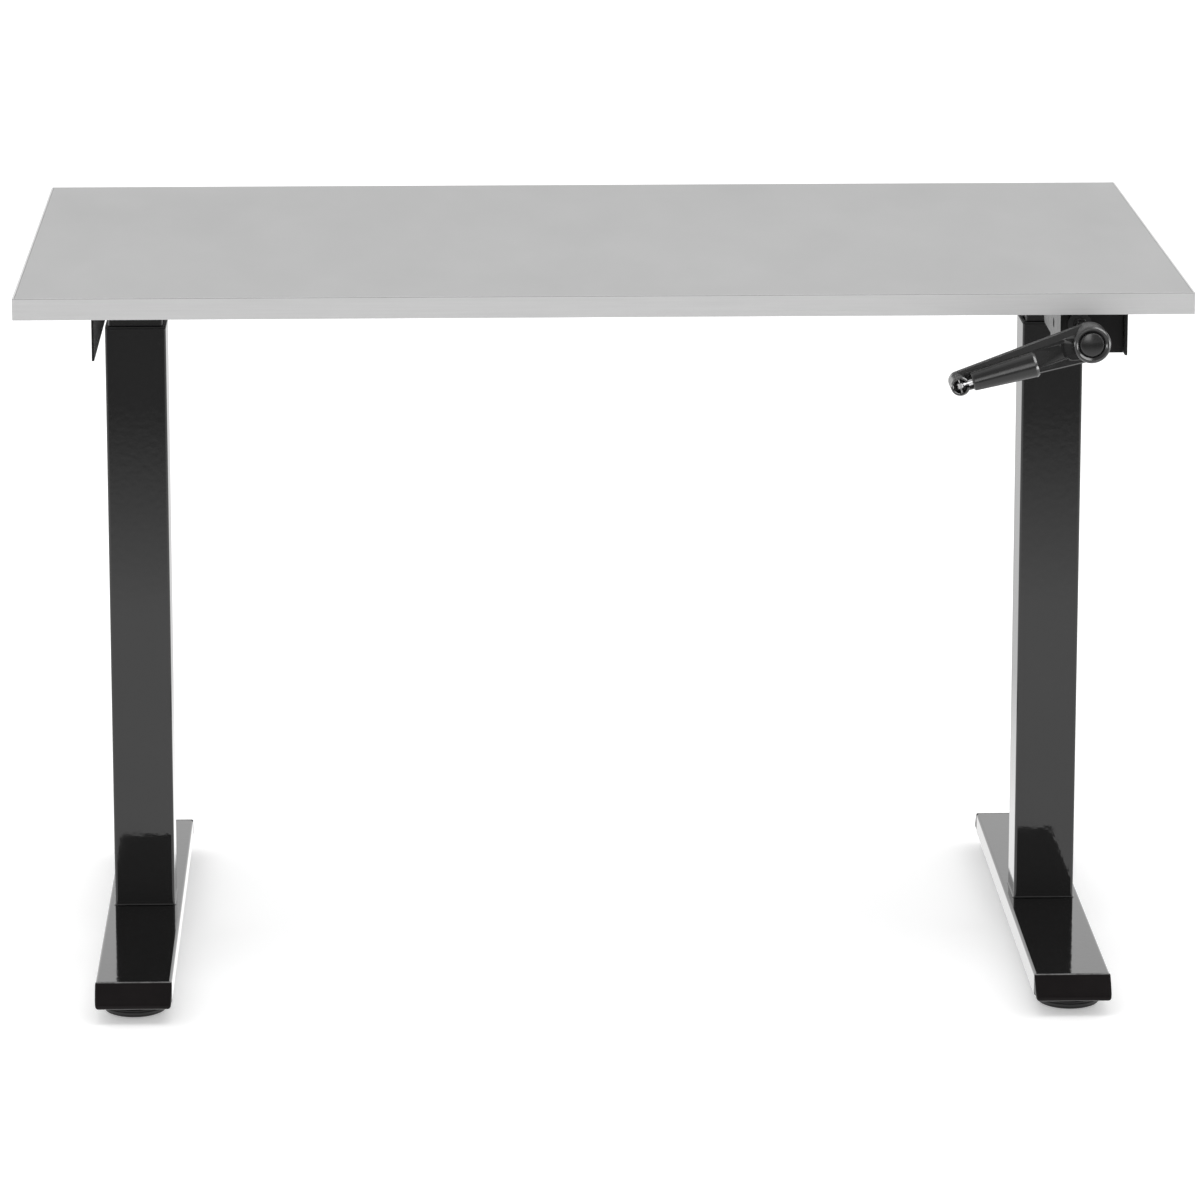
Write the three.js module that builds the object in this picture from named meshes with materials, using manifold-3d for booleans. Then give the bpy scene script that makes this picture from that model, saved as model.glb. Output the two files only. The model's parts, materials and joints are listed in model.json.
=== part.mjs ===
// Hand-cranked height adjustable desk at its lowest height.
// Millimetres, +Z up. X runs along the desk and the user stands on the -Y side.
// Two telescopic legs hold lead screws. A crank at the right front turns the right-hand gear head,
// and a cross shaft under the top turns the left-hand head by the same angle.
import * as THREE from "three";
import { mergeVertices } from "three/addons/utils/BufferGeometryUtils.js";
import Module from "manifold-3d";

const wasm = await Module();
wasm.setup();

// ---------------------------------------------------------------- driving dimensions
const GAP = 0.3; // between pieces that touch
const TOP = { width: 1200, depth: 720, thickness: 22, height: 770, band: 2, corner: 1.5 };
const UNDERSIDE = TOP.height - TOP.thickness;
const LEG_X = 491;
const OUTER = { side: 65, wall: 1.8, corner: 3, top: 679 };
const INNER = { side: 58, wall: 1.8, corner: 2.5, bottom: 70, top: 694 };
const FOOT = { width: 80, height: 24, wall: 2, corner: 3, length: 650, top: 41 };
const CAP = { reach: 24, drop: 18, edge: 2, corner: 6, plug: 18, chin: 5 };
const GLIDE = { radius: 33, height: 15, neck: 12, y: 290, studRadius: 4.3, studTop: 36, socket: 6 };
const BASE_PLATE = { thickness: 6, boltY: 22, boltRadius: 4.25, tapRadius: 3.75, accessRadius: 7.5 };
const SCREW = { radius: 8, journal: 5, bottom: 60, shoulder: 684 };
const NUT = { tubeRadius: 17, tubeWall: 2.5, z: 470, height: 30, spigot: 15 };
const COLLAR = { depth: 79, lip: 2 };
const HEAD = { wall: 3, halfY: 32, floor: 694.3, left: 29.7, rightOut: 45.2, spigot: 53.8 };
const BEARING = { radius: 11, height: 6 };
const HEAD_PLATE = { thickness: 3.1, reach: 44, halfY: 85, screwX: 34, screwY: 74, hole: 3, edge: 10 };
const RAIL = { y: 52, width: 30, height: 22, wall: 1.5, slack: 0.3, left: 518, right: 476, lap: 110 };
const BRACKET = { bottom: 694.5, halfY: 300, sheet: 2.5, flange: 25 };
const BRACKET_HOLES = { radius: 2.6, y: [-260, -130, 130, 260] };
const CRANK_PLATE = { front: -284, left: 471.3, rear: -124, notchY: -190, notch: 4, chamfer: 6 };
const CRANK_FLANGE = { right: 44, slotRadius: 5.2, slotY: -219, slotZ: 714.5 };
const CRANK_TAB = { width: 26, frontInset: 14, rearInset: 16, hole: 3, holeX: 15, holeY: [-250, -160] };
const BUSH = { flange: 12.5, flangeDepth: 3, barrel: 9, barrelEnd: 8, clearance: 0.4 };
const DRIVE_Z = 724.5; // height of the crank shaft and of the cross shaft
const SMALL_BEVEL = { teeth: 12, radius: 10, inner: 6.8, hub: 7.2 };
const LARGE_BEVEL = { teeth: 14, radius: 15, inner: 12.3, hub: 10 };
const CROSS = { flats: 7, bore: 7.3, end: 23, lap: 45, sleeve: 75, sleeveRadius: 7 };
const SHAFT = { flats: 8, bore: 8.6, tubeRadius: 7, tubeFront: -287, rodRear: -200 };
const ARM = { length: 139.5, slope: 17, front: -390, rear: -374, head: 19, tip: 9.8, hub: 12 };
// The pocket's corners are [along, across] the arm from the crank's axis.
const POCKET = { depth: 4, corners: [[-132, -8.5], [-58, -10.8], [-27, -9], [-27, 9.5], [-132, 8.5]] };
const BOSS = { front: -404, recess: 12.9, recessDepth: 8, hubRear: -350 };
const CUP = { front: -409, inner: 7.2, floor: -392, slot: 7, chamfer: 1.5 };
const GRIP = { y: -401, slope: 15.5, start: 13, end: 81, small: 9.5, large: 13.25, bore: 3.4 };
const ROD = { radius: 3, eye: 4.6, head: 5, headLength: 3, counterbore: 5.6 };
const PIN_RADIUS = 1.5;
const FRONT_REACH = GRIP.large - GRIP.y;
const DESK_Y = (FRONT_REACH - TOP.depth / 2) / 2; // puts the origin under the middle of the whole

// ---------------------------------------------------------------- colours
const finish = (color, roughness, metalness) => ({ color, roughness, metalness });
const FINISH = {
  laminate: finish(0xbdbdbd, 0.5, 0),
  band: finish(0xc9c9c9, 0.45, 0),
  paint: finish(0x1c1c1e, 0.15, 0.1),
  crankPlastic: finish(0x262626, 0.45, 0),
  capPlastic: finish(0x1f1b1c, 0.6, 0),
  nylon: finish(0x2a2a2a, 0.55, 0),
  rubber: finish(0x121212, 0.8, 0),
  steel: finish(0xa8aaad, 0.3, 1),
  zinc: finish(0x8f9296, 0.45, 0.9),
  bronze: finish(0xa07a45, 0.4, 0.9),
};

// ---------------------------------------------------------------- shapes
function rounded(width, height, radius, x = 0, y = 0) {
  const w = width / 2 - radius;
  const h = height / 2 - radius;
  const shape = new THREE.Shape();
  shape.absarc(x + w, y + h, radius, 0, Math.PI / 2);
  shape.absarc(x - w, y + h, radius, Math.PI / 2, Math.PI);
  shape.absarc(x - w, y - h, radius, Math.PI, 1.5 * Math.PI);
  shape.absarc(x + w, y - h, radius, 1.5 * Math.PI, 2 * Math.PI);
  return shape;
}

function disc(radius, x = 0, y = 0) {
  return new THREE.Shape().absarc(x, y, radius, 0, 2 * Math.PI);
}

function hexagon(flats, x = 0, y = 0, turn = 0) {
  const radius = flats / Math.sqrt(3);
  const corners = [0, 1, 2, 3, 4, 5].map((i) => {
    const angle = turn + (i * Math.PI) / 3;
    return new THREE.Vector2(x + radius * Math.cos(angle), y + radius * Math.sin(angle));
  });
  return new THREE.Shape(corners);
}

function outline(points) {
  return new THREE.Shape(points.map(([x, y]) => new THREE.Vector2(x, y)));
}

function ring(outer, inner) {
  outer.holes.push(inner);
  return outer;
}

// The outline of two circles joined by their common tangents, the second circle at the origin's left.
function taperedBar(headRadius, tipRadius, length) {
  const lean = Math.asin((headRadius - tipRadius) / length);
  const shape = new THREE.Shape();
  shape.absarc(0, 0, headRadius, -Math.PI / 2 - lean, Math.PI / 2 + lean);
  shape.absarc(-length, 0, tipRadius, Math.PI / 2 + lean, 1.5 * Math.PI - lean);
  return shape;
}

// ---------------------------------------------------------------- solids
const basis = (x, y, z) => {
  const vectors = [x, y, z].map((v) => new THREE.Vector3(...v));
  return new THREE.Matrix4().makeBasis(...vectors);
};
// A section is drawn in (Y, Z) for a prism along x, in (X, Z) along y and in (X, Y) along z.
const PRISM_FRAMES = {
  x: (from) => basis([0, 1, 0], [0, 0, 1], [1, 0, 0]).setPosition(from, 0, 0),
  y: (from, to) => basis([1, 0, 0], [0, 0, 1], [0, -1, 0]).setPosition(0, to, 0),
  z: (from) => basis([1, 0, 0], [0, 1, 0], [0, 0, 1]).setPosition(0, 0, from),
};

function solid(geometry) {
  const bare = geometry.clone();
  bare.deleteAttribute("normal");
  bare.deleteAttribute("uv");
  const merged = mergeVertices(bare, 1e-4);
  const triVerts = new Uint32Array(merged.index.array);
  const vertProperties = merged.attributes.position.array;
  const made = new wasm.Manifold(new wasm.Mesh({ numProp: 3, vertProperties, triVerts }));
  if (made.volume() > 0) return made;
  const flipped = triVerts.map((_, i) => triVerts[i - (i % 3) + ((3 - (i % 3)) % 3)]);
  return new wasm.Manifold(new wasm.Mesh({ numProp: 3, vertProperties, triVerts: flipped }));
}

// An arc gets twice as many sides as arcSteps.
function prism(shape, axis, from, to, arcSteps = 2) {
  const options = { depth: to - from, bevelEnabled: false, curveSegments: arcSteps };
  const geometry = new THREE.ExtrudeGeometry(shape, options);
  return solid(geometry.applyMatrix4(PRISM_FRAMES[axis](from, to)));
}

function box(x, y, z) {
  const shape = outline([[x[0], y[0]], [x[1], y[0]], [x[1], y[1]], [x[0], y[1]]]);
  return prism(shape, "z", z[0], z[1]);
}

function cylinder(radius, axis, from, to, a = 0, b = 0, sides = 20) {
  return prism(disc(radius, a, b), axis, from, to, sides / 2);
}

// A profile of [radius, height] points turned about Z, standing at x, y.
function turned(profile, x = 0, y = 0, segments = 20) {
  const points = profile.map(([r, z]) => new THREE.Vector2(r, z));
  const geometry = new THREE.LatheGeometry(points, segments);
  const upright = basis([1, 0, 0], [0, 0, 1], [0, -1, 0]).setPosition(x, y, 0);
  return solid(geometry.applyMatrix4(upright));
}

function geometryOf(manifold) {
  const mesh = manifold.getMesh();
  const geometry = new THREE.BufferGeometry();
  const position = new THREE.BufferAttribute(new Float32Array(mesh.vertProperties), 3);
  geometry.setAttribute("position", position);
  geometry.setIndex(new THREE.BufferAttribute(new Uint32Array(mesh.triVerts), 1));
  geometry.computeVertexNormals();
  return geometry;
}

const desk = new THREE.Group();
desk.position.y = DESK_Y;

function add(name, manifold, material) {
  const mesh = new THREE.Mesh(geometryOf(manifold), new THREE.MeshStandardMaterial(FINISH[material]));
  mesh.name = name;
  desk.add(mesh);
}

const SIDES = [["left", -1], ["right", 1]];
const ENDS = [["front", -1], ["rear", 1]];

// ---------------------------------------------------------------- desktop
function desktop() {
  const inner = { width: TOP.width - 2 * TOP.band, depth: TOP.depth - 2 * TOP.band };
  const board = rounded(inner.width - 2 * GAP, inner.depth - 2 * GAP, 0.5);
  add("tabletop", prism(board, "z", UNDERSIDE, TOP.height, 1), "laminate");
  const band = ring(rounded(TOP.width, TOP.depth, TOP.corner), rounded(inner.width, inner.depth, 0.5));
  add("edge_band", prism(band, "z", UNDERSIDE, TOP.height), "band");
}

// ---------------------------------------------------------------- feet
function footBeam(x) {
  const middle = FOOT.top - FOOT.height / 2;
  const section = ring(
    rounded(FOOT.width, FOOT.height, FOOT.corner, x, middle),
    rounded(FOOT.width - 2 * FOOT.wall, FOOT.height - 2 * FOOT.wall, FOOT.corner - 1, x, middle),
  );
  let beam = prism(section, "y", -FOOT.length / 2, FOOT.length / 2);
  for (const [, end] of ENDS) {
    const bolt = [x, end * BASE_PLATE.boltY, 12];
    beam = beam.subtract(cylinder(GLIDE.studRadius + GAP, "z", 0, middle, x, end * GLIDE.y, 16));
    beam = beam.subtract(cylinder(BASE_PLATE.boltRadius, "z", middle, FOOT.top + 1, ...bolt));
    beam = beam.subtract(cylinder(BASE_PLATE.accessRadius, "z", 0, middle, ...bolt));
  }
  return beam;
}

// An end cap: a nose that slopes out from the beam's top edge, rounded below, and a plug in the beam.
function footCap(x, end) {
  const bottom = FOOT.top - FOOT.height;
  const middle = FOOT.top - FOOT.height / 2;
  const start = FOOT.length / 2 + GAP;
  const nose = start + CAP.reach;
  const side = outline(
    [
      [start, bottom],
      [nose - CAP.chin, bottom],
      [nose - 1.5, bottom + 1.5],
      [nose, FOOT.top - CAP.drop],
      [start + CAP.edge, FOOT.top - 0.5],
      [start + CAP.edge - 1, FOOT.top],
      [start, FOOT.top],
    ].map(([y, z]) => [end * y, z]),
  );
  const width = FOOT.width / 2;
  const body = prism(side, "x", x - width, x + width);
  const front = rounded(FOOT.width, FOOT.height + CAP.corner, CAP.corner, x, middle + CAP.corner / 2);
  const rounding = prism(front, "y", -nose - 1, nose + 1, 3);
  const inset = 2 * (FOOT.wall + GAP);
  const plugSection = rounded(FOOT.width - inset, FOOT.height - inset, FOOT.corner, x, middle);
  const reach = [end * (start + 1), end * (start - CAP.plug)].sort((a, b) => a - b);
  return body.intersect(rounding).add(prism(plugSection, "y", reach[0], reach[1]));
}

function glidePad(x, y) {
  const { radius: r, height: h, neck, socket: floor } = GLIDE;
  const hole = GLIDE.studRadius + 0.2;
  const dome = [[0, 0], [r - 5, 0], [r - 1.5, 1.6], [r, 5], [r - 0.8, 8.5], [r - 6, 12], [neck, h]];
  return turned([...dome, [hole, h], [hole, floor], [0, floor]], x, y, 24);
}

function feet() {
  for (const [side, sign] of SIDES) {
    const x = sign * LEG_X;
    add(`${side}_foot_beam`, footBeam(x), "paint");
    for (const [place, end] of ENDS) {
      const y = end * GLIDE.y;
      const stud = cylinder(GLIDE.studRadius, "z", GLIDE.socket + GAP, GLIDE.studTop, x, y, 16);
      add(`${side}_${place}_foot_cap`, footCap(x, end), "capPlastic");
      add(`${side}_${place}_glide_pad`, glidePad(x, y), "rubber");
      add(`${side}_${place}_glide_stud`, stud, "zinc");
    }
  }
}

// ---------------------------------------------------------------- telescopic legs
function squareTube({ side, wall, corner }, x, from, to) {
  const inside = rounded(side - 2 * wall, side - 2 * wall, corner - 1, x, 0);
  return prism(ring(rounded(side, side, corner, x, 0), inside), "z", from, to);
}

function basePlate(x) {
  const side = OUTER.side - 2 * OUTER.wall - 2 * GAP;
  const from = FOOT.top + GAP;
  const to = from + BASE_PLATE.thickness;
  const plate = prism(rounded(side, side, OUTER.corner - 1, x, 0), "z", from, to);
  return ENDS.reduce((part, [, end]) => {
    const y = end * BASE_PLATE.boltY;
    return part.subtract(cylinder(BASE_PLATE.tapRadius, "z", from - 1, to + 1, x, y, 12));
  }, plate);
}

// A plastic liner between the two tubes, with a lip on the outer tube's rim.
function glideCollar(x) {
  const bore = { side: INNER.side + 0.5, corner: INNER.corner };
  const sleeveSide = OUTER.side - 2 * OUTER.wall - 0.4;
  const opening = () => rounded(bore.side, bore.side, bore.corner, x, 0);
  const sleeve = ring(rounded(sleeveSide, sleeveSide, OUTER.corner - 1, x, 0), opening());
  const lip = ring(rounded(OUTER.side - 0.4, OUTER.side - 0.4, OUTER.corner, x, 0), opening());
  const rim = OUTER.top + GAP;
  const lower = prism(sleeve, "z", OUTER.top - COLLAR.depth, rim + COLLAR.lip);
  return lower.add(prism(lip, "z", rim, rim + COLLAR.lip));
}

function nutTube(x) {
  const inner = NUT.tubeRadius - NUT.tubeWall;
  const from = FOOT.top + BASE_PLATE.thickness + 2 * GAP;
  const to = NUT.z - GAP;
  const profile = [[inner, from], [NUT.tubeRadius, from], [NUT.tubeRadius, to], [inner, to]];
  return turned([...profile, profile[0]], x);
}

function screwNut(x) {
  const bore = SCREW.radius + 0.35;
  const plug = NUT.tubeRadius - NUT.tubeWall - GAP;
  const profile = [
    [bore, NUT.z - NUT.spigot],
    [plug, NUT.z - NUT.spigot],
    [plug, NUT.z],
    [NUT.tubeRadius, NUT.z],
    [NUT.tubeRadius, NUT.z + NUT.height],
    [bore, NUT.z + NUT.height],
  ];
  return turned([...profile, profile[0]], x);
}

function leadScrew(x) {
  const end = DRIVE_Z - SMALL_BEVEL.inner;
  const { radius, journal, bottom, shoulder } = SCREW;
  const foot = [[0, bottom], [radius - 1, bottom], [radius, bottom + 1.5], [radius, shoulder]];
  return turned([...foot, [journal, shoulder], [journal, end], [0, end]], x);
}

function legs() {
  for (const [side, sign] of SIDES) {
    const x = sign * LEG_X;
    add(`${side}_outer_tube`, squareTube(OUTER, x, FOOT.top + GAP, OUTER.top), "paint");
    add(`${side}_inner_tube`, squareTube(INNER, x, INNER.bottom, INNER.top), "paint");
    add(`${side}_glide_collar`, glideCollar(x), "nylon");
    add(`${side}_base_plate`, basePlate(x), "steel");
    add(`${side}_nut_tube`, nutTube(x), "steel");
    add(`${side}_screw_nut`, screwNut(x), "bronze");
    add(`${side}_lead_screw`, leadScrew(x), "steel");
  }
}

// ---------------------------------------------------------------- gear heads on the inner tubes
function headReach(sign) {
  return sign < 0 ? [-LEG_X - HEAD.left, -LEG_X + HEAD.left] : [LEG_X - HEAD.left, LEG_X + HEAD.rightOut];
}

function railTop(sign) {
  const outerTop = UNDERSIDE - 2 * GAP - HEAD_PLATE.thickness;
  return sign < 0 ? outerTop : outerTop - RAIL.wall - RAIL.slack;
}

function gearHousing(sign) {
  const x = sign * LEG_X;
  const [low, high] = headReach(sign);
  const { wall, halfY, floor } = HEAD;
  const top = railTop(sign);
  const shell = box([low, high], [-halfY, halfY], [floor, top]);
  const inside = box([low + wall, high - wall], [-halfY + wall, halfY - wall], [floor + wall, top + 1]);
  const spigot = rounded(HEAD.spigot, HEAD.spigot, INNER.corner - 1, x, 0);
  const seat = SCREW.shoulder + GAP + BEARING.height + GAP;
  const inboard = sign < 0 ? [high - wall - 1, high + 1] : [low - 1, low + wall + 1];
  const body = shell
    .subtract(inside)
    .add(prism(spigot, "z", SCREW.shoulder, floor + wall))
    .subtract(cylinder(BEARING.radius + 0.2, "z", SCREW.shoulder - 1, seat, x))
    .subtract(cylinder(SCREW.journal + 3.2, "z", seat - 1, floor + wall + 1, x))
    .subtract(cylinder(CROSS.flats / Math.sqrt(3) + 0.5, "x", ...inboard, 0, DRIVE_Z, 16));
  if (sign < 0) return body;
  const crankHole = cylinder(SHAFT.tubeRadius + 0.4, "y", -halfY - 1, -halfY + wall + 1, x, DRIVE_Z);
  return body.subtract(crankHole);
}

function bearing(x) {
  const from = SCREW.shoulder + GAP;
  const to = from + BEARING.height;
  const inner = SCREW.journal + 0.15;
  const profile = [[inner, from], [BEARING.radius, from], [BEARING.radius, to], [inner, to]];
  return turned([...profile, profile[0]], x);
}

function headPlate(sign) {
  const x = sign * LEG_X;
  const outer = sign < 0 ? -LEG_X - HEAD.left : LEG_X + HEAD.rightOut;
  const width = [outer, x - sign * HEAD_PLATE.reach].sort((a, b) => a - b);
  const { halfY, screwX, screwY, hole, edge } = HEAD_PLATE;
  const z = [railTop(sign) + GAP, UNDERSIDE - GAP];
  let plate = box(width, [-halfY, halfY], z);
  for (const [, end] of ENDS) {
    for (const place of [outer - sign * edge, x - sign * screwX]) {
      plate = plate.subtract(cylinder(hole, "z", z[0] - 1, z[1] + 1, place, end * screwY, 12));
    }
  }
  return plate;
}

function rail(sign, y) {
  const slim = sign < 0 ? 0 : 2 * (RAIL.wall + RAIL.slack);
  const width = RAIL.width - slim;
  const height = RAIL.height - slim;
  const middle = railTop(-1) - RAIL.height / 2;
  const inside = rounded(width - 2 * RAIL.wall, height - 2 * RAIL.wall, 0.8, y, middle);
  const section = ring(rounded(width, height, 2, y, middle), inside);
  const reach = sign < 0 ? [-RAIL.left, RAIL.lap] : [-RAIL.lap, RAIL.right];
  return prism(section, "x", ...reach, 1);
}

// An angle section along the desk's depth: a deep web beside the head and a flange under the top.
function sideBracket(sign) {
  const inner = sign < 0 ? -LEG_X - HEAD.left - GAP : LEG_X + HEAD.rightOut + GAP;
  const { bottom, halfY, sheet, flange } = BRACKET;
  const top = UNDERSIDE - GAP;
  const section = outline(
    [[0, bottom], [sheet, bottom], [sheet, top - sheet], [flange, top - sheet], [flange, top], [0, top]].map(
      ([x, z]) => [inner + sign * x, z],
    ),
  );
  const web = prism(section, "y", -halfY, halfY);
  return BRACKET_HOLES.y.reduce((part, y) => {
    const x = inner + sign * (sheet + flange) * 0.5;
    return part.subtract(cylinder(BRACKET_HOLES.radius, "z", top - sheet - 1, top + 1, x, y, 12));
  }, web);
}

// ---------------------------------------------------------------- crank bracket
function crankBracket() {
  const { front, left, rear, notchY, notch, chamfer } = CRANK_PLATE;
  const { right: rightDepth, slotRadius, slotY, slotZ } = CRANK_FLANGE;
  const { width, frontInset, rearInset, hole, holeX, holeY } = CRANK_TAB;
  const { bottom, sheet } = BRACKET;
  const top = UNDERSIDE - GAP;
  const right = LEG_X + HEAD.rightOut;
  const back = front + sheet;
  const plate = box([left, right], [front, back], [bottom, top]);
  const side = outline([
    [front, bottom],
    [notchY, bottom],
    [notchY, bottom + notch],
    [rear - chamfer, bottom + notch],
    [rear, bottom + notch + chamfer],
    [rear, top],
    [front, top],
  ]);
  const leftFlange = prism(side, "x", left, left + sheet);
  const rightFlange = box([right - sheet, right], [front, front + rightDepth], [bottom, top]);
  const tab = box([left, left + width], [front + frontInset, rear - rearInset], [top - sheet, top]);
  const bracket = plate
    .add(leftFlange)
    .add(rightFlange)
    .add(tab)
    .subtract(cylinder(BUSH.barrel + BUSH.clearance, "y", front - 1, back + 1, LEG_X, DRIVE_Z))
    .subtract(cylinder(slotRadius, "x", left - 1, left + sheet + 1, slotY, slotZ, 16));
  return holeY.reduce((part, y) => {
    return part.subtract(cylinder(hole, "z", top - sheet - 1, top + 1, left + holeX, y, 12));
  }, bracket);
}

function crankBush() {
  const { front } = CRANK_PLATE;
  const at = [LEG_X, DRIVE_Z];
  const flange = cylinder(BUSH.flange, "y", front - BUSH.flangeDepth, front - GAP, ...at);
  const barrel = cylinder(BUSH.barrel, "y", front - 1, front + BUSH.barrelEnd, ...at);
  const bore = cylinder(SHAFT.tubeRadius + 0.25, "y", front - 10, front + 20, ...at);
  return flange.add(barrel).subtract(bore);
}

// ---------------------------------------------------------------- bevel gears
// Straight teeth on a 45 degree cone whose apex is the local origin, with the gear behind it on -Z.
// The section is drawn at the outer end and shrinks towards the apex.
function bevelGear({ teeth, radius, inner, hub }, hubLength, bore, phase) {
  const pitch = (2 * Math.PI) / teeth;
  const module = (2 * radius) / teeth;
  const tip = radius + 1.0 * module;
  const root = radius - 1.3 * module;
  const points = [];
  for (let i = 0; i < teeth; i += 1) {
    const middle = (i + phase) * pitch;
    for (const [r, half] of [[root, -0.3], [tip, -0.12], [tip, 0.12], [root, 0.3]]) {
      const angle = middle + half * pitch;
      points.push([r * Math.cos(angle), r * Math.sin(angle)]);
    }
  }
  const options = { depth: radius - inner, bevelEnabled: false };
  const geometry = new THREE.ExtrudeGeometry(outline(points), options).translate(0, 0, -radius);
  const position = geometry.attributes.position;
  for (let i = 0; i < position.count; i += 1) {
    const share = -position.getZ(i) / radius;
    position.setXY(i, position.getX(i) * share, position.getY(i) * share);
  }
  const shank = cylinder(hub, "z", -radius - hubLength, -radius + 0.5, 0, 0, 20);
  return solid(geometry).add(shank).subtract(prism(bore, "z", -radius - hubLength - 1, 1, 10));
}

// Stands a gear at the apex, with its axis towards the apex and its first tooth or gap along mesh.
function placed(gear, axis, mesh, apexX) {
  const z = new THREE.Vector3(...axis);
  const x = new THREE.Vector3(...mesh);
  const matrix = new THREE.Matrix4().makeBasis(x, z.clone().cross(x), z);
  matrix.setPosition(apexX, 0, DRIVE_Z);
  return gear.transform(matrix.elements);
}

function bevels() {
  const hexBore = (turn) => hexagon(CROSS.bore, 0, 0, turn);
  const journalBore = () => disc(SCREW.journal + 0.15);
  const screwHub = DRIVE_Z - SMALL_BEVEL.radius - HEAD.floor - HEAD.wall - 0.7;
  for (const [side, sign] of SIDES) {
    const driver = bevelGear(SMALL_BEVEL, 5, hexBore(Math.PI / 6), 0);
    const driven = bevelGear(SMALL_BEVEL, screwHub, journalBore(), 0.5);
    add(`${side}_drive_bevel`, placed(driver, [1, 0, 0], [0, 0, -1], sign * LEG_X), "zinc");
    add(`${side}_screw_bevel`, placed(driven, [0, 0, 1], [-1, 0, 0], sign * LEG_X), "zinc");
  }
  const crankGear = bevelGear(LARGE_BEVEL, 5, disc(SHAFT.tubeRadius + 0.15), 0);
  const crossGear = bevelGear(LARGE_BEVEL, 5, hexBore(0), 0.5);
  add("crank_bevel", placed(crankGear, [0, 1, 0], [1, 0, 0], LEG_X), "zinc");
  add("crank_driven_bevel", placed(crossGear, [-1, 0, 0], [0, -1, 0], LEG_X), "zinc");
}

// ---------------------------------------------------------------- shafts
function shafts() {
  const { flats, bore, end, lap, sleeve, sleeveRadius } = CROSS;
  const reach = LEG_X + end;
  add("left_cross_rod", prism(hexagon(flats, 0, DRIVE_Z), "x", -reach, -lap), "steel");
  add("right_cross_rod", prism(hexagon(flats, 0, DRIVE_Z), "x", lap, reach), "steel");
  const coupler = ring(disc(sleeveRadius, 0, DRIVE_Z), hexagon(bore, 0, DRIVE_Z));
  add("cross_sleeve", prism(coupler, "x", -sleeve, sleeve, 8), "zinc");
  const tube = ring(disc(SHAFT.tubeRadius, LEG_X, DRIVE_Z), hexagon(SHAFT.bore, LEG_X, DRIVE_Z));
  add("crank_tube", prism(tube, "y", SHAFT.tubeFront, -LARGE_BEVEL.inner, 10), "paint");
  const rod = hexagon(SHAFT.flats, LEG_X, DRIVE_Z);
  add("crank_shaft", prism(rod, "y", BOSS.front + BOSS.recessDepth + 3, SHAFT.rodRear), "steel");
}

// ---------------------------------------------------------------- crank
const armSlope = THREE.MathUtils.degToRad(ARM.slope);
const gripSlope = THREE.MathUtils.degToRad(GRIP.slope);
const crankAxis = new THREE.Vector3(LEG_X, 0, DRIVE_Z);
const alongArm = new THREE.Vector3(-Math.cos(armSlope), 0, -Math.sin(armSlope));
const socket = alongArm.multiplyScalar(ARM.length).add(crankAxis).setY(GRIP.y);
const gripAxis = new THREE.Vector3(Math.cos(gripSlope), 0, Math.sin(gripSlope));
const foldAxis = new THREE.Vector3(Math.sin(gripSlope), 0, -Math.cos(gripSlope));

// Turns a solid drawn about the local Z axis so that Z lies along an axis through the socket.
function atSocket(manifold, axis) {
  const side = new THREE.Vector3(0, 1, 0);
  const matrix = new THREE.Matrix4().makeBasis(side.clone().cross(axis), side, axis);
  return manifold.transform(matrix.setPosition(socket).elements);
}

// Turns a solid drawn about the local Z axis so that its top faces the user, about the axis through x, z.
function facingUser(manifold, x, z) {
  const matrix = basis([1, 0, 0], [0, 0, 1], [0, -1, 0]).setPosition(x, 0, z);
  return manifold.transform(matrix.elements);
}

// The arm carries the hub boss in front, the shaft's socket behind, and the grip's cup at its tip.
// The cup is slotted towards the grip, so that the folded rod can lie along the arm.
function crankArm() {
  const turn = new THREE.Matrix4().makeRotationY(-armSlope).setPosition(crankAxis);
  const bar = prism(taperedBar(ARM.head, ARM.tip, ARM.length), "y", ARM.front, ARM.rear, 8);
  const pocket = prism(outline(POCKET.corners), "y", ARM.front - 1, ARM.front + POCKET.depth);
  const plate = bar.subtract(pocket).transform(turn.elements);
  const at = [LEG_X, DRIVE_Z];
  const cupAt = [socket.x, socket.z];
  const back = -ARM.front - 1;
  const rim = -CUP.front - CUP.chamfer;
  const cupSide = [[0, back], [ARM.tip, back], [ARM.tip, rim]];
  const cupTop = [[ARM.tip - CUP.chamfer, -CUP.front], [0, -CUP.front]];
  const cup = facingUser(turned([...cupSide, ...cupTop]), ...cupAt);
  const slot = box([-CUP.slot / 2, CUP.slot / 2], [-12, ROD.radius + 0.5], [0, ARM.tip + 3]);
  return plate
    .add(cylinder(ARM.head, "y", BOSS.front, ARM.rear, ...at, 28))
    .add(cup)
    .add(cylinder(ARM.hub, "y", ARM.rear - 1, BOSS.hubRear, ...at, 20))
    .subtract(cylinder(BOSS.recess, "y", BOSS.front - 1, BOSS.front + BOSS.recessDepth, ...at, 28))
    .subtract(prism(hexagon(SHAFT.flats + 0.4, ...at), "y", BOSS.front + 10, BOSS.hubRear + 1))
    .subtract(cylinder(CUP.inner, "y", CUP.front - 1, CUP.floor, ...cupAt, 20))
    .subtract(atSocket(slot, gripAxis))
    .subtract(atSocket(cylinder(PIN_RADIUS + 0.2, "z", -20, 20, 0, 0, 12), foldAxis));
}

function hubCap() {
  const back = BOSS.front + BOSS.recessDepth - GAP;
  const front = BOSS.front + 1;
  const r = BOSS.recess - 0.5;
  const profile = [[0, -back], [r, -back], [r, -front - 1], [r - 1, -front], [0, -front + 0.4]];
  return facingUser(turned(profile, 0, 0, 28), LEG_X, DRIVE_Z);
}

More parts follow.
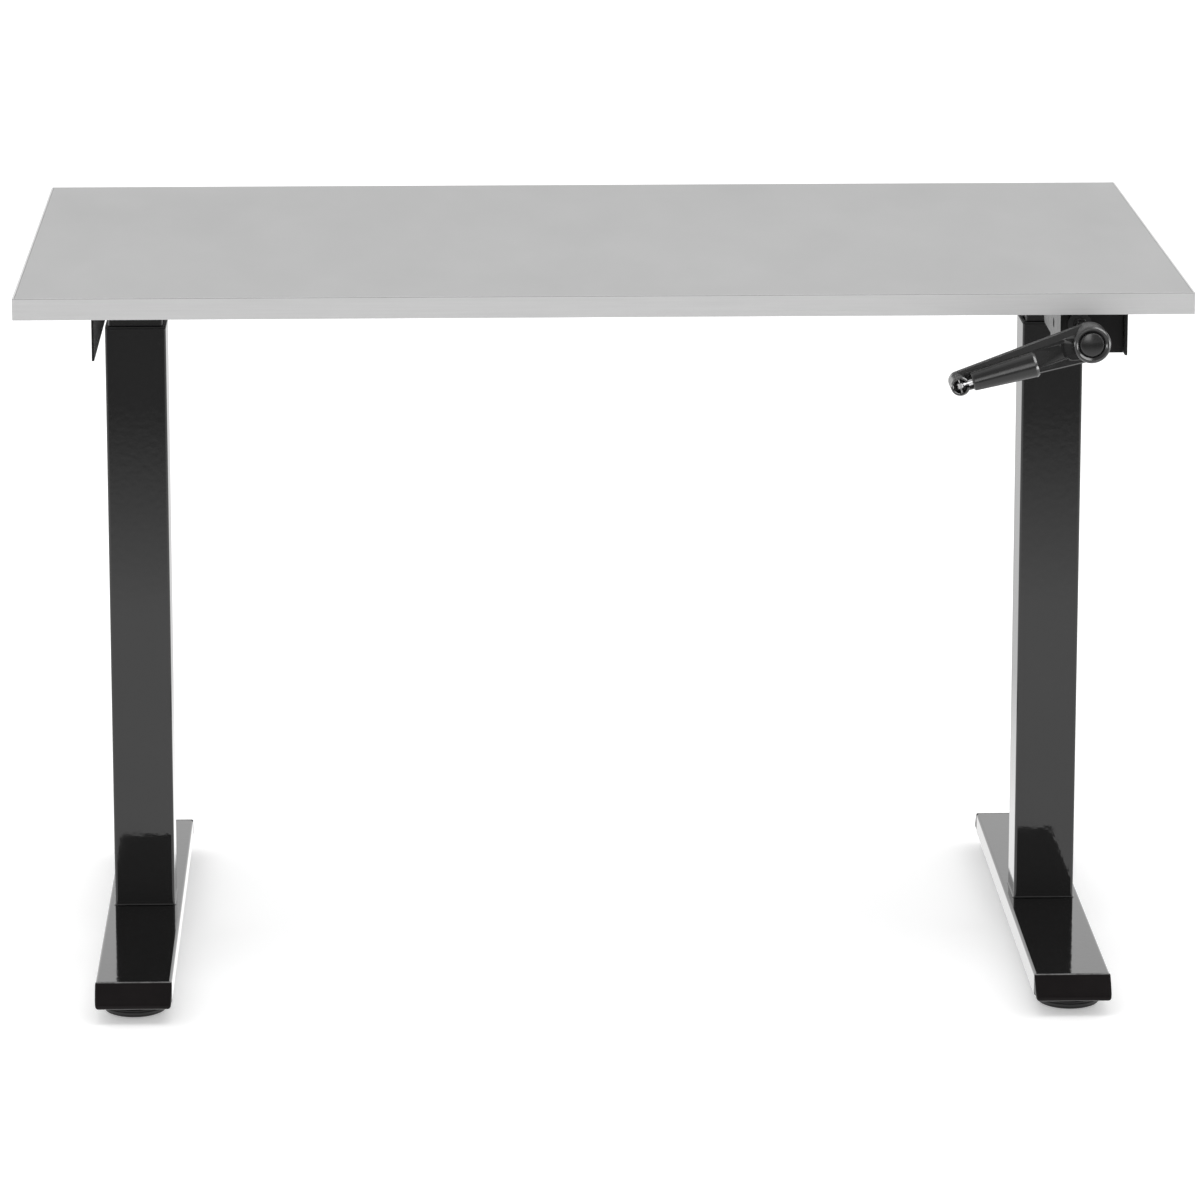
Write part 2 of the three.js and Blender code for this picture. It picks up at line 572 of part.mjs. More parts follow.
function gripRod() {
  const { radius, eye, head, headLength } = ROD;
  const neck = GRIP.end - headLength;
  const tip = GRIP.end - 0.5;
  const shank = [[0, 2], [radius, 2], [radius, neck], [head, neck], [head, tip], [0, tip]];
  const eyeDisc = atSocket(cylinder(eye, "z", -radius, radius, 0, 0, 20), foldAxis);
  const pinHole = atSocket(cylinder(PIN_RADIUS + 0.2, "z", -10, 10, 0, 0, 12), foldAxis);
  return atSocket(turned(shank), gripAxis).add(eyeDisc).subtract(pinHole);
}

function gripHandle() {
  const { start, end, small, large, bore } = GRIP;
  const seat = end - ROD.headLength - 0.6;
  const wide = ROD.counterbore;
  const profile = [
    [bore, start],
    [small - 1, start],
    [small, start + 1.2],
    [large - 0.9, end - 8],
    [large, end - 1.2],
    [large - 0.6, end],
    [wide, end],
    [wide, seat],
    [bore, seat],
  ];
  return atSocket(turned([...profile, profile[0]], 0, 0, 24), gripAxis);
}

function crank() {
  add("crank_arm", crankArm(), "crankPlastic");
  add("crank_hub_cap", hubCap(), "crankPlastic");
  add("grip_pin", atSocket(cylinder(PIN_RADIUS, "z", -9, 9, 0, 0, 12), foldAxis), "steel");
  add("grip_rod", gripRod(), "steel");
  add("crank_grip", gripHandle(), "crankPlastic");
}

// ---------------------------------------------------------------- assembly
function upperFrame() {
  for (const [side, sign] of SIDES) {
    add(`${side}_gear_housing`, gearHousing(sign), "paint");
    add(`${side}_screw_bearing`, bearing(sign * LEG_X), "steel");
    add(`${side}_head_plate`, headPlate(sign), "paint");
    add(`${side}_side_bracket`, sideBracket(sign), "paint");
    for (const [place, end] of ENDS) add(`${side}_${place}_rail`, rail(sign, end * RAIL.y), "paint");
  }
  add("crank_bracket", crankBracket(), "paint");
  add("crank_bush", crankBush(), "nylon");
}

desktop();
feet();
legs();
upperFrame();
bevels();
shafts();
crank();

export default desk;
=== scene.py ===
"""The looks of a hand-cranked height adjustable desk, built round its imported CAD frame.

Metres, +Z up, the user on the -Y side. Solids are drawn in millimetres and scaled when they are built. CAD
parts with hard edges get them rounded, and the crank, caps, glides and studs are rebuilt from finer sections.
Every material is made of nodes.
"""
import json
import math

import bmesh
import bpy
from mathutils import Matrix, Vector


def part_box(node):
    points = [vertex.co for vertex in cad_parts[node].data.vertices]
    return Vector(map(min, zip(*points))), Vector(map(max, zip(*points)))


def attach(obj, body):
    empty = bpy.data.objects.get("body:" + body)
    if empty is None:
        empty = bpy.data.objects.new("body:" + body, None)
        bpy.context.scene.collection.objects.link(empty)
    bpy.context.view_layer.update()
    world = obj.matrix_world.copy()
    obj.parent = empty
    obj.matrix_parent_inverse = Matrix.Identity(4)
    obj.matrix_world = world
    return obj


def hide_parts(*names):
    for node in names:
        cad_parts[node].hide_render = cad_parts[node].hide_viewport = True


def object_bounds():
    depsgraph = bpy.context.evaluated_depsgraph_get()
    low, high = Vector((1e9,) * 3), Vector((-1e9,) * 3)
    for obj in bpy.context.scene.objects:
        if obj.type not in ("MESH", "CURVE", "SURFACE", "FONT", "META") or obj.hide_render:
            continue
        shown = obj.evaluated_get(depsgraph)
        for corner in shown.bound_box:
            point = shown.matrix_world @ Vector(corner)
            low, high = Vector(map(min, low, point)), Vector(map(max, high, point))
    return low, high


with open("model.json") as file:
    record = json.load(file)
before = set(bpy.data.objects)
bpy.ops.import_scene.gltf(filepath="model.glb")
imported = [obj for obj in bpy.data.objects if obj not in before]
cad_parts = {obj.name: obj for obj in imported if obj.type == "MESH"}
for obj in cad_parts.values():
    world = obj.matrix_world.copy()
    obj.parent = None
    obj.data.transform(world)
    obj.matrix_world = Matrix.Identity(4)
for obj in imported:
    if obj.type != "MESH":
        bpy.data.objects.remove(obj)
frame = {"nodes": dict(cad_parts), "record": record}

MM = 0.001
UP = (0, 0, 1)
CAD_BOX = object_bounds()
GLUE_LINE = CAD_BOX[1].z - 0.0003  # the dark line where the edge band meets the top's face
SIDES = ("left", "right")
ENDS = (("front", -1), ("rear", 1))
BODY_OF = {node: body for body, members in frame["record"]["behaviour"]["bodies"].items() for node in members}
SLOT_OF = {part["node"]: part["material_slot"] for part in frame["record"]["subparts"]}


# ---------------------------------------------------------------- materials
class Finish:
    """A material under construction: a Principled shader and the nodes that feed it."""

    def __init__(self, name, **sockets):
        self.made = bpy.data.materials.new(name)
        self.made.use_nodes = True
        self.nodes = self.made.node_tree.nodes
        self.links = self.made.node_tree.links
        self.shader = self.nodes["Principled BSDF"]
        self.coords = self.nodes.new("ShaderNodeTexCoord").outputs["Object"]
        for socket, value in sockets.items():
            self.shader.inputs[socket.replace("_", " ")].default_value = value

    def feed(self, socket, value):
        if isinstance(value, bpy.types.NodeSocket):
            self.links.new(value, socket)
        else:
            socket.default_value = value

    def place(self, stretch=(1, 1, 1)):
        node = self.nodes.new("ShaderNodeMapping")
        node.inputs["Scale"].default_value = stretch
        self.links.new(self.coords, node.inputs["Vector"])
        return node.outputs["Vector"]

    def noise(self, scale, detail=2.0, roughness=0.5, stretch=(1, 1, 1)):
        node = self.nodes.new("ShaderNodeTexNoise")
        node.inputs["Scale"].default_value = scale
        node.inputs["Detail"].default_value = detail
        node.inputs["Roughness"].default_value = roughness
        self.links.new(self.place(stretch), node.inputs["Vector"])
        return node.outputs["Fac"]

    def cells(self, scale):
        node = self.nodes.new("ShaderNodeTexVoronoi")
        node.inputs["Scale"].default_value = scale
        self.links.new(self.place(), node.inputs["Vector"])
        return node.outputs["Distance"]

    def height(self):
        node = self.nodes.new("ShaderNodeSeparateXYZ")
        self.links.new(self.coords, node.inputs[0])
        return node.outputs["Z"]

    def edges(self):
        return self.nodes.new("ShaderNodeNewGeometry").outputs["Pointiness"]

    def span(self, value, low, high, to_low=0.0, to_high=1.0):
        node = self.nodes.new("ShaderNodeMapRange")
        for socket, number in zip(node.inputs[1:5], (low, high, to_low, to_high)):
            socket.default_value = number
        self.feed(node.inputs["Value"], value)
        return node.outputs["Result"]

    def math(self, operation, a, b):
        node = self.nodes.new("ShaderNodeMath")
        node.operation = operation
        self.feed(node.inputs[0], a)
        self.feed(node.inputs[1], b)
        return node.outputs[0]

    def mix(self, factor, a, b):
        node = self.nodes.new("ShaderNodeMix")
        node.data_type = "RGBA"
        self.feed(node.inputs["Factor"], factor)
        self.feed(node.inputs["A"], (*a, 1) if isinstance(a, tuple) else a)
        self.feed(node.inputs["B"], (*b, 1) if isinstance(b, tuple) else b)
        return node.outputs["Result"]

    def bump(self, height, distance, under=None):
        node = self.nodes.new("ShaderNodeBump")
        node.inputs["Distance"].default_value = distance
        self.feed(node.inputs["Height"], height)
        if under is not None:
            self.links.new(under, node.inputs["Normal"])
        return node.outputs["Normal"]

    def finish(self, color=None, rough=None, normal=None):
        for name, value in (("Base Color", color), ("Roughness", rough), ("Normal", normal)):
            if value is not None:
                self.feed(self.shader.inputs[name], value)
        return self.made


def gray(level, tint=(1, 1, 1)):
    return tuple(level * t for t in tint)


def laminate():
    f = Finish("light_grey_melamine", Specular_IOR_Level=0.45)
    cloud = f.noise(3.5, 3)
    fleck = f.noise(1400, 2, 0.6)
    shade = f.mix(f.span(cloud, 0.3, 0.7), gray(0.279), gray(0.287))
    color = f.mix(f.span(fleck, 0.35, 0.7, 0, 0.35), shade, gray(0.32))
    pearl = f.bump(f.noise(900, 3, 0.6), 1.2e-5)
    rub = f.noise(9, 4, 0.6, (1, 0.35, 1))
    return f.finish(color, f.span(rub, 0.3, 0.7, 0.38, 0.43), pearl)


def band_plastic():
    f = Finish("light_grey_edge_band", Specular_IOR_Level=0.45)
    streak = f.noise(420, 3, 0.6, (0.03, 0.03, 1))
    shade = f.mix(f.span(streak, 0.3, 0.7), gray(0.52), gray(0.55))
    glue = f.span(f.height(), GLUE_LINE - 0.0004, GLUE_LINE, 0, 0.85)
    seam = f.math("MULTIPLY", glue, f.span(f.height(), GLUE_LINE + 0.0002, GLUE_LINE + 0.00028, 1, 0))
    color = f.mix(seam, shade, gray(0.14))
    grain = f.bump(f.noise(1600, 2), 1e-5)
    return f.finish(color, f.span(f.noise(30, 3), 0.3, 0.7, 0.34, 0.42), grain)


def black_paint(name, gloss, rough):
    f = Finish(name, Specular_IOR_Level=gloss)
    nib = f.span(f.cells(210), 0.035, 0.06, 1, 0)
    rare = f.math("MULTIPLY", nib, f.span(f.noise(23, 1), 0.6, 0.64))
    worn = f.span(f.edges(), 0.53, 0.62, 0, 0.5)
    shade = f.mix(f.span(f.noise(6, 3), 0.35, 0.65), gray(0.0042), gray(0.0062, (1, 0.95, 0.96)))
    dust = f.math("MULTIPLY", f.span(f.edges(), 0.49, 0.45), f.span(f.noise(90, 3, 0.6), 0.35, 0.6, 0.25, 1))
    shade = f.mix(dust, shade, gray(0.11))
    color = f.mix(f.math("MAXIMUM", worn, f.math("MULTIPLY", rare, 0.5)), shade, gray(0.05))
    peel = f.bump(f.noise(150, 2.5, 0.45), 4.5e-5)
    fine = f.bump(f.noise(560, 2, 0.5), 4e-6, peel)
    smear = f.span(f.noise(14, 4, 0.6, (1, 1, 0.4)), 0.35, 0.72, rough, rough + 0.055)
    return f.finish(color, f.math("ADD", smear, f.math("MULTIPLY", rare, 0.3)), fine)


def moulded(name, level, tint, gloss, rough, grain, depth, edge):
    f = Finish(name, Specular_IOR_Level=gloss)
    cloud = f.span(f.noise(40, 4), 0.3, 0.7)
    shade = f.mix(cloud, gray(level, tint), gray(level * 1.25, tint))
    # Convex edges are painted lighter in the edge colour: a painted highlight along the rims.
    color = f.mix(f.span(f.edges(), 0.515, 0.57, 0, 0.8), shade, gray(edge, tint))
    texture = f.bump(f.noise(grain, 3, 0.65), depth)
    flow = f.bump(f.noise(60, 2), 8e-6, texture)
    return f.finish(color, f.span(f.noise(55, 4, 0.6), 0.3, 0.7, rough - 0.05, rough + 0.06), flow)


def cap_plastic():
    """Matte brownish black, with painted highlights along the rim at the top and the lip at the bottom."""
    f = Finish("matte_brown_black_plastic", Specular_IOR_Level=0.12)
    brown = (1.2, 0.9, 0.95)
    shade = f.mix(f.span(f.noise(45, 4), 0.3, 0.7), gray(0.0042, brown), gray(0.006, brown))
    low = CAD_BOX[0].z
    # Painted highlights: a pale line along the top rim and a fainter one along the bottom lip, broken into
    # streaks.
    rim = f.span(f.height(), low + 0.0404, low + 0.0408)
    lip_highlight = f.span(f.height(), low + 0.0186, low + 0.0178)
    highlight_streaks = f.span(f.noise(75, 3, 0.6, (1, 0.2, 1)), 0.3, 0.62, 0.25, 1)
    painted_highlight = f.math("MULTIPLY", f.math("MAXIMUM", rim, f.math("MULTIPLY", lip_highlight, 0.6)), highlight_streaks)
    color = f.mix(painted_highlight, shade, gray(0.22))
    texture = f.bump(f.noise(1100, 3, 0.65), 1.4e-5)
    rough = f.span(f.noise(55, 4, 0.6), 0.3, 0.7, 0.33, 0.44)
    flow = f.bump(f.noise(60, 2), 8e-6, texture)
    return f.finish(color, rough, flow)


def metal(name, color, rough, brush, depth, tarnish):
    f = Finish(name, Metallic=1.0)
    line = f.noise(600, 3, 0.6, brush)
    stain = f.span(f.noise(45, 4, 0.6), 0.4, 0.75)
    tone = f.mix(stain, color, tarnish)
    shade = f.mix(f.span(line, 0.3, 0.7, 0, 0.3), tone, tuple(0.75 * c for c in color))
    return f.finish(shade, f.span(line, 0.25, 0.75, rough - 0.07, rough + 0.1), f.bump(line, depth))


MATERIALS = {
    "laminate": laminate(),
    "edge_band": band_plastic(),
    "black_paint": black_paint("gloss_black_powder_coat", 0.55, 0.03),
    "crank_plastic": moulded("satin_black_plastic", 0.005, (1, 1, 1), 0.5, 0.21, 1500, 1.2e-5, 0.09),
    "cap_plastic": cap_plastic(),
    "nylon": moulded("dark_nylon", 0.004, (1, 1, 1), 0.12, 0.5, 900, 2e-5, 0.03),
    "rubber": moulded("black_rubber", 0.007, (1, 0.98, 0.97), 0.35, 0.6, 700, 4e-5, 0.03),
    "steel": metal("drawn_steel", (0.62, 0.62, 0.63), 0.27, (1, 0.05, 1), 4e-6, (0.5, 0.49, 0.47)),
    "zinc": metal("zinc_plate", (0.5, 0.51, 0.54), 0.36, (1, 1, 1), 6e-6, (0.56, 0.53, 0.44)),
    "bronze": metal("turned_bronze", (0.62, 0.42, 0.2), 0.33, (1, 1, 0.08), 5e-6, (0.42, 0.28, 0.14)),
}
SATIN_PAINT = black_paint("satin_black_powder_coat", 0.2, 0.2)  # on the folded plates under the top


# ---------------------------------------------------------------- meshes
def new_piece(name, mesh):
    piece = bpy.data.objects.new(name, mesh)
    bpy.context.scene.collection.objects.link(piece)
    return piece


def built(name, verts, faces):
    mesh = bpy.data.meshes.new(name)
    mesh.from_pydata([Vector(v) * MM for v in verts], [], faces)
    bm = bmesh.new()
    bm.from_mesh(mesh)
    bmesh.ops.recalc_face_normals(bm, faces=bm.faces)
    bm.to_mesh(mesh)
    bm.free()
    return new_piece(name, mesh)


def stack(name, rings, through=False):
    """A closed solid through rings with as many points each.

    It is capped at both ends. A through solid closes on itself round a hole instead.
    """
    count = len(rings[0])
    verts = [p for ring in rings for p in ring]
    faces = [] if through else [tuple(range(count)), tuple(range(len(verts) - count, len(verts)))]
    for level in range(len(rings) if through else len(rings) - 1):
        low, high = level * count, (level + 1) % len(rings) * count
        for i in range(count):
            j = (i + 1) % count
            faces.append((low + i, low + j, high + j, high + i))
    return built(name, verts, faces)


def turned(name, profile, sides=64, through=False):
    """A solid turned about the local Y axis from (radius, y) points.

    A through profile closes on itself round a bore.
    """
    angles = [2 * math.pi * i / sides for i in range(sides)]
    return stack(name, [[(r * math.cos(a), y, r * math.sin(a)) for a in angles] for r, y in profile], through)


def pose(piece, x_axis, y_axis, z_axis, place):
    """Moves a piece's mesh from local axes to the frame. The place is in millimetres."""
    turn = Matrix((x_axis, y_axis, z_axis)).transposed().to_4x4()
    piece.data.transform(Matrix.Translation(Vector(place) * MM) @ turn)
    return piece


def shift(piece, place):
    return pose(piece, (1, 0, 0), (0, 1, 0), UP, place)


def aim(piece, axis, place=(0, 0, 0)):
    """Stands a piece that was turned about Y along another axis."""
    axis = Vector(axis).normalized()
    side = axis.cross(Vector(UP) if abs(axis.z) < 0.9 else Vector((0, 1, 0))).normalized()
    return pose(piece, axis.cross(side), axis, side, place)


def block(name, low, high):
    corners = [(low[0], low[1]), (high[0], low[1]), (high[0], high[1]), (low[0], high[1])]
    return stack(name, [[(x, y, z) for x, y in corners] for z in (low[2], high[2])])


def applied(piece):
    """Makes the piece's modifiers part of its mesh."""
    graph = bpy.context.evaluated_depsgraph_get()
    old = piece.data
    piece.data = bpy.data.meshes.new_from_object(piece.evaluated_get(graph))
    piece.data.name = old.name
    piece.modifiers.clear()
    bpy.data.meshes.remove(old)
    return piece


def combine(piece, tool, operation):
    modifier = piece.modifiers.new("cut", "BOOLEAN")
    modifier.operation = operation
    modifier.solver = "EXACT"
    modifier.object = tool
    bpy.context.view_layer.update()
    applied(piece)
    mesh = tool.data
    bpy.data.objects.remove(tool)
    bpy.data.meshes.remove(mesh)
    return piece


def tidy(piece, angle=0.6):
    bm = bmesh.new()
    bm.from_mesh(piece.data)
    bmesh.ops.remove_doubles(bm, verts=bm.verts, dist=2e-6)
    bmesh.ops.dissolve_limit(bm, angle_limit=math.radians(angle), verts=bm.verts, edges=bm.edges)
    bm.to_mesh(piece.data)
    bm.free()
    return piece


def soften(piece, width, segments=2, angle=32):
    modifier = piece.modifiers.new("edges", "BEVEL")
    modifier.width = width * MM
    modifier.segments = segments
    modifier.limit_method = "ANGLE"
    modifier.angle_limit = math.radians(angle)
    return applied(piece)


def split_wide_faces(piece):
    """Cuts faces with many corners, or a straight one, into even triangles, which leaves fewer slivers."""
    straight = math.radians(179.5)
    bm = bmesh.new()
    bm.from_mesh(piece.data)
    bmesh.ops.dissolve_degenerate(bm, edges=bm.edges, dist=2e-6)
    wide = [f for f in bm.faces if len(f.verts) > 4 or any(loop.calc_angle() > straight for loop in f.loops)]
    bmesh.ops.triangulate(bm, faces=wide, quad_method="BEAUTY", ngon_method="BEAUTY")
    bm.to_mesh(piece.data)
    bm.free()


def shade(piece, angle=38):
    split_wide_faces(piece)
    piece.data.shade_smooth()
    piece.data.set_sharp_from_angle(angle=math.radians(angle))
    modifier = piece.modifiers.new("normals", "WEIGHTED_NORMAL")
    modifier.weight = 100
    modifier.keep_sharp = True
    return applied(piece)


def dress(piece, slot):
    piece.data.materials.clear()
    piece.data.materials.append(MATERIALS[slot])
    return piece


def settle(piece, body, slot, *nodes):
    dress(piece, slot)
    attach(piece, body)
    if nodes:
        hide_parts(*nodes)
    return piece


def rounded_part(node, width, segments=2):
    """A copy of a CAD part with rounded edges, which stands for it."""
    piece = tidy(new_piece(node + "_piece", frame["nodes"][node].data.copy()))
    piece = shade(soften(piece, width, segments))
    return settle(piece, BODY_OF[node], SLOT_OF[node], node)


def rounded_parts():
    """CAD parts whose shape is right once their edges are rounded."""
    for side in SIDES:
        rounded_part(f"{side}_outer_tube", 0.8, 3)
        rounded_part(f"{side}_foot_beam", 0.5)
        rounded_part(f"{side}_inner_tube", 0.5)
        for part in ("gear_housing", "head_plate", "front_rail", "rear_rail"):
            rounded_part(f"{side}_{part}", 0.3)
        rounded_part(f"{side}_glide_collar", 0.3)
    plates = [rounded_part("crank_bracket", 0.4)]
    plates += [rounded_part(f"{side}_side_bracket", 0.3) for side in SIDES]
    for plate in plates:
        plate.data.materials[0] = SATIN_PAINT
    rounded_part("tabletop", 0.2)
    rounded_part("edge_band", 0.6, 3)


# ---------------------------------------------------------------- crank
HALF_DEPTH = 0.36  # of the top, in metres
DESK_Y = 1000 * (CAD_BOX[1].y - HALF_DEPTH)
HUB = 500 * (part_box("crank_tube")[0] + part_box("crank_tube")[1])
ARM_SLOPE = math.radians(17)
GRIP_SLOPE = math.radians(15.5)
ARM_LENGTH, HEAD_RADIUS, TIP_RADIUS = 139.5, 19, 9.8
ARM_FRONT, ARM_REAR = -390, -374
SOCKET = (-ARM_LENGTH, -401, 0)  # where the grip's rod is pinned, in the arm's own axes
POCKET_END = 27.5  # radius of the arc that ends the recess round the hub
POCKET_START, POCKET_BEND = -132, -58  # the recess's end at the tip, and where its walls spread
TIP_WALL, UPPER_WALL, LOWER_WALL = 8.3, 9.6, 10.4  # from the middle line, at the start and at the bend
CRANK_TARGET = (0.4, -0.4, 0.7)  # what the crank's lamps aim at, in metres
CRANK_PIECES = (
    "crank_arm_moulding",
    "crank_hub_cap_moulding",
    "crank_grip_moulding",
    "grip_rod_turning",
    "grip_pin_turning",
)


def slope_axes(slope):
    """The directions along and across something that rises to the right at this slope."""
    return (math.cos(slope), 0, math.sin(slope)), (-math.sin(slope), 0, math.cos(slope))


def in_arm(piece):
    """The arm's own axes have X from the tip to the hub, Y away from the user and Z across the arm."""
    along, across = slope_axes(ARM_SLOPE)
    return pose(piece, along, (0, 1, 0), across, (HUB.x, DESK_Y, HUB.z))


def bar_ring(inset, y, steps=20):
    """The arm's outline. inset and y are functions of the outward direction's angle."""
    lean = math.asin((HEAD_RADIUS - TIP_RADIUS) / ARM_LENGTH)
    quarter = math.pi / 2
    head = (0, HEAD_RADIUS, -quarter - lean, quarter + lean)
    tip = (-ARM_LENGTH, TIP_RADIUS, quarter + lean, 3 * quarter - lean)
    ring = []
    for x, radius, first, last in (head, tip):
        for i in range(steps + 1):
            angle = first + (last - first) * i / steps
            r = radius - inset(angle)
            ring.append((x + r * math.cos(angle), y(angle), r * math.sin(angle)))
    return ring


def upper_bevel(angle):
    """The bevel is wide along the arm's upper edge and narrow along its lower edge."""
    share = min(max((math.sin(angle) + 0.1) / 0.9, 0), 1)
    return 1.5 + 3.7 * share * share * (3 - 2 * share)


def flat(value):
    """A measure that is the same all round the arm."""
    return lambda angle: value


def arm_bar():
    return stack("crank_arm_moulding", [
        bar_ring(flat(1.2), flat(ARM_REAR)),
        bar_ring(flat(0.35), flat(ARM_REAR - 0.35)),
        bar_ring(flat(0), flat(ARM_REAR - 1.2)),
        bar_ring(flat(0), lambda angle: ARM_FRONT + upper_bevel(angle)),
        bar_ring(upper_bevel, flat(ARM_FRONT)),
    ])


def pocket_tool():
    """The recess that the folded grip lies in, ending in an arc round the hub."""
    angles = [math.radians(degrees) for degrees in range(199, 160, -4)]
    start = [(POCKET_START, TIP_WALL), (POCKET_START, -TIP_WALL), (POCKET_BEND, -LOWER_WALL)]
    end = [(POCKET_END * math.cos(a), POCKET_END * math.sin(a)) for a in angles]
    corners = start + end + [(POCKET_BEND, UPPER_WALL)]
    return stack("pocket", [[(x, y, z) for x, z in corners] for y in (ARM_FRONT - 2, ARM_FRONT + 3)])


def pocket_groove():
    """A narrow groove round the recess, where its floor meets its walls."""
    rings = []
    top, bottom = ARM_FRONT + 2, ARM_FRONT + 5.5
    for inset, y in ((0.25, top), (0.25, bottom), (1.5, bottom), (1.5, top)):
        radius = POCKET_END + 1.9 * inset
        reach = 18 - 2.33 * inset  # degrees to either side of the arm's middle line
        angles = [math.radians(180 + share * reach) for share in (-1, -0.55, 0, 0.55, 1)]
        arc = [(radius * math.cos(a), radius * math.sin(a)) for a in angles]
        start = inset + POCKET_START + 0.5
        upper = [(start, TIP_WALL - inset), (POCKET_BEND, UPPER_WALL - inset)]
        lower = [(POCKET_BEND, inset - LOWER_WALL), (start, inset - TIP_WALL)]
        rings.append([(x, y, z) for x, z in upper + arc + lower])
    return stack("groove", rings, True)


def cup_slot():
    """The slot that the rod's eye folds in."""
    slot = block("slot", (0, -12, -3.5), (TIP_RADIUS + 3, 3.5, 3.5))
    along, across = slope_axes(GRIP_SLOPE - ARM_SLOPE)
    return pose(slot, along, (0, 1, 0), across, SOCKET)


def pin_hole(radius, half):
    _, across = slope_axes(GRIP_SLOPE - ARM_SLOPE)
    return aim(turned("pin_hole", [(radius, -half), (radius, half)], 24), across, SOCKET)


def hexagon_tool(flats, low, high):
    corner = flats / math.sqrt(3)
    points = [(corner * math.cos(i * math.pi / 3), corner * math.sin(i * math.pi / 3)) for i in range(6)]
    return stack("hexagon", [[(x, y, z) for x, z in points] for y in (low, high)])


def crank_arm():
    arm = combine(arm_bar(), pocket_tool(), "DIFFERENCE")
    combine(arm, pocket_groove(), "DIFFERENCE")
    radius = HEAD_RADIUS + 0.15  # clear of the bar's own round head, so that the two walls never coincide
    boss = [(radius, ARM_REAR - 1.7), (radius, -400.6), (18.8, -402), (18.1, -403.2), (17.2, -403.85)]
    dish = [(16.6, -404), (16, -403.85), (15.5, -403.5), (13.4, -401.5), (12.9, -400.8), (12.9, -396)]
    combine(arm, turned("boss", boss + dish, 80), "UNION")
    combine(arm, turned("hub", [(12, -380), (12, -351), (11, -350)], 64), "UNION")
    cup = [(9.75, -380), (9.75, -407.6), (8.6, -409), (7.9, -409), (7.2, -408.4), (7.2, -392)]
    combine(arm, shift(turned("cup", cup), (-ARM_LENGTH, 0, 0)), "UNION")
    combine(arm, cup_slot(), "DIFFERENCE")
    combine(arm, pin_hole(1.7, 14), "DIFFERENCE")
    combine(arm, hexagon_tool(8.4, -394, -349), "DIFFERENCE")
    for x, z, front in ((-30.2, 6.6, 1.6), (-25.2, -10.2, -0.5), (-24.6, 11.2, -0.5)):
        mark = turned("mark", [(1.25, front + 2), (1.25, front + 0.5), (0.9, front + 0.12), (0.4, front)], 20)
        combine(arm, shift(mark, (x, ARM_FRONT, z)), "UNION")
    in_arm(shade(soften(tidy(arm, 0.3), 0.35, 2, 40), 34))
    settle(arm, "crank", "crank_plastic", "crank_arm")


def hub_cap():
    wall = [(12.2, -396.4), (12.2, -401.3), (11.9, -401.9), (11.3, -402.2)]
    dome = [(9.5, -402.6), (7, -403), (4, -403.3), (1, -403.4)]
    cap = shade(turned("crank_hub_cap_moulding", wall + dome, 80), 50)
    settle(in_arm(cap), "crank", "crank_plastic", "crank_hub_cap")


def on_grip(piece):
    """The grip's own axes have Y along its rod, from the pin, and Z along the pin."""
    axis, across = slope_axes(GRIP_SLOPE)
    arm, _ = slope_axes(ARM_SLOPE)
    to_socket = Vector((-arm[0] * ARM_LENGTH, SOCKET[1], -arm[2] * ARM_LENGTH))
    return pose(piece, (0, -1, 0), axis, across, Vector((HUB.x, DESK_Y, HUB.z)) + to_socket)


def grip():
    outside = [(8.3, 13), (9, 13.25), (9.4, 14), (9.6, 15.2), (10.7, 35), (12.0, 58), (12.7, 71), (13, 76.8)]
    rim = [(13.2, 77.8), (13.1, 78.5), (11.75, 80.5), (11.3, 80.9), (10.8, 81)]
    mouth = [(6.4, 81), (5.8, 80.6), (5.6, 80), (5.6, 77.4)]
    bore = [(3.4, 77.4), (3.4, 13.6), (3.9, 13)]
    handle = turned("crank_grip_moulding", outside + rim + mouth + bore, 72, True)
    settle(on_grip(shade(handle, 40)), "grip", "crank_plastic", "crank_grip")
    shank = [(2.7, 2), (3, 3), (3, 78), (4.6, 78), (5, 78.4), (5, 79.4), (4.2, 80.3), (2.4, 80.5)]
    rod = turned("grip_rod_turning", shank, 40)
    eye = turned("eye", [(3.9, -3.2), (4.6, -2.6), (4.6, 2.6), (3.9, 3.2)], 40)
    combine(rod, aim(eye, UP), "UNION")
    combine(rod, aim(turned("hole", [(1.65, -9), (1.65, 9)], 24), UP), "DIFFERENCE")
    settle(on_grip(shade(rod, 34)), "grip_hinge", "steel", "grip_rod")
    pin = turned("grip_pin_turning", [(1.1, -9), (1.5, -8.6), (1.5, 8.6), (1.1, 9)], 24)
    settle(on_grip(aim(shade(pin, 34), UP)), "crank", "steel", "grip_pin")


# ---------------------------------------------------------------- feet
def round_corners(half_width, low, high, low_corner, high_corner, steps=6):
    """The outline of a rectangle with round corners, as (across, up) points."""
    points = []
    for turn, (sign, top) in enumerate(((1, True), (-1, True), (-1, False), (1, False))):
        radius = high_corner if top else low_corner
        centre = high - radius if top else low + radius
        for i in range(steps + 1):
            angle = math.radians(90 * turn + 90 * i / steps)
            across = sign * (half_width - radius) + radius * math.cos(angle)
            points.append((across, centre + radius * math.sin(angle)))
    return points


